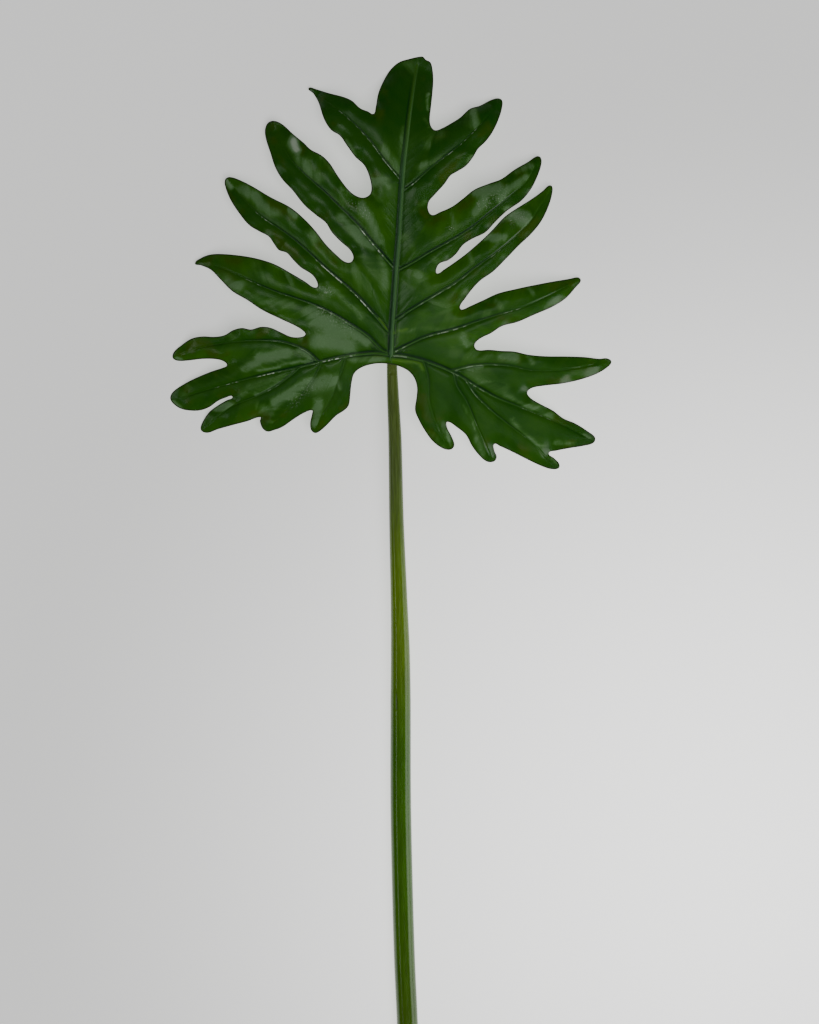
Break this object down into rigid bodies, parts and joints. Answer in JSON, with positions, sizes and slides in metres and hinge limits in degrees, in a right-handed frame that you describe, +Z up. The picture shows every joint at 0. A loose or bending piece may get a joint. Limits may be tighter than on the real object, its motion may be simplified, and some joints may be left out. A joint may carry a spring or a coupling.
{
  "type": "philodendron leaf",
  "caption": "Cut split-leaf philodendron frond lying face up: a deeply lobed, arched and veined green blade on a long round stalk with a plain cut end.",
  "frame": {"origin": "middle of the bounding box's underside, on the surface that the leaf lies on", "axes": "+Y along the leaf from the stalk's cut end to the tip of the blade, +Z up, out of the blade's upper face, +X to the right seen from above"},
  "size_m": [0.3, 0.7528, 0.0286],
  "materials": {
    "blade": "satin",
    "petiole": "satin"
  },
  "bodies": {
    "root": {"blade": "blade", "petiole": "petiole"}
  },
  "joints": []
}
